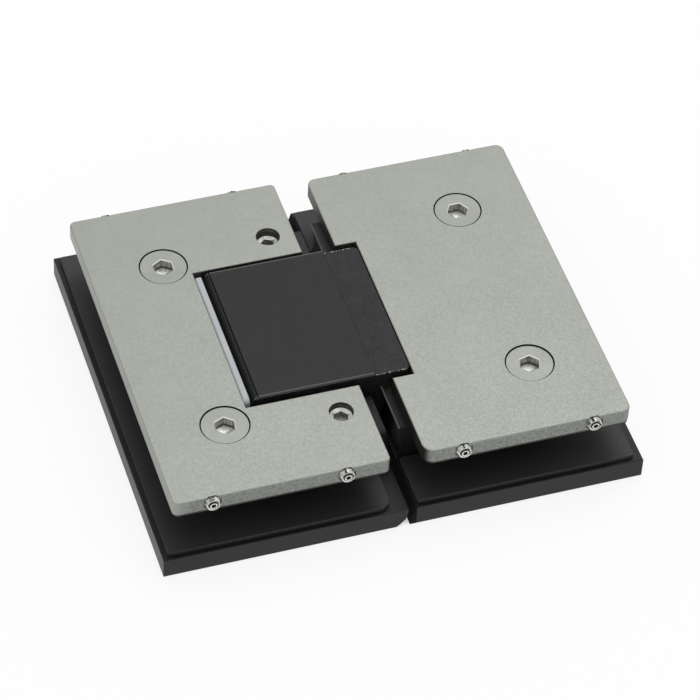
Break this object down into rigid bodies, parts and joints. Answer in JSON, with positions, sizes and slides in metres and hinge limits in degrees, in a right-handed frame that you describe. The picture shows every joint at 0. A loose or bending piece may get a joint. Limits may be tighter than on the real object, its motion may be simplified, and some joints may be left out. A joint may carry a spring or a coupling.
{
  "type": "glass door hinge",
  "caption": "Double-action glass-to-glass shower door hinge: two plate leaves clamp toughened glass and swing on a sprung knuckle.",
  "frame": {"origin": "under the middle of the two closed leaves, on the plane of their finished backs", "axes": "+X from the door leaf to the fixed leaf, +Y along the pivot pin, +Z from the finished backs to the bare front plates"},
  "size_m": [0.1046, 0.09, 0.0189],
  "materials": {
    "black_plate": "satin black",
    "gasket_rubber": "matt black rubber",
    "black_casting": "black coating over a rough casting",
    "black_cover": "smooth satin black",
    "blasted_steel": "bead-blasted stainless steel",
    "pale_strip": "smooth pale plastic",
    "screw_steel": "turned stainless steel",
    "pin_steel": "ground steel",
    "spring_steel": "drawn spring wire",
    "bush_plastic": "black bearing plastic"
  },
  "bodies": {
    "fixed_leaf": {"fixed_back_plate": "black_plate", "fixed_back_gasket": "gasket_rubber", "fixed_body": "black_casting", "housing_cover": "black_cover", "fixed_front_gasket": "gasket_rubber", "fixed_front_plate": "blasted_steel", "fixed_plate_screws": "screw_steel", "fixed_cover_screws": "screw_steel", "pivot_bushes": "bush_plastic", "detent_rollers": "pin_steel", "detent_plungers": "pin_steel", "detent_springs": "spring_steel", "spring_plugs": "screw_steel"},
    "door_leaf": {"door_back_plate": "black_plate", "door_back_gasket": "gasket_rubber", "door_body": "black_casting", "door_front_gasket": "gasket_rubber", "door_front_plate": "blasted_steel", "wear_strip": "pale_strip", "door_plate_screws": "screw_steel", "door_cover_screws": "screw_steel", "pivot_set_screws": "screw_steel", "pivot_pin": "pin_steel"}
  },
  "joints": [
    {"name": "door_swing", "type": "hinge", "parent": "fixed_leaf", "child": "door_leaf", "pos_m": [-0.0091, 0, 0.0096], "axis": [0, 1, 0], "range_deg": [-90, 90]}
  ]
}
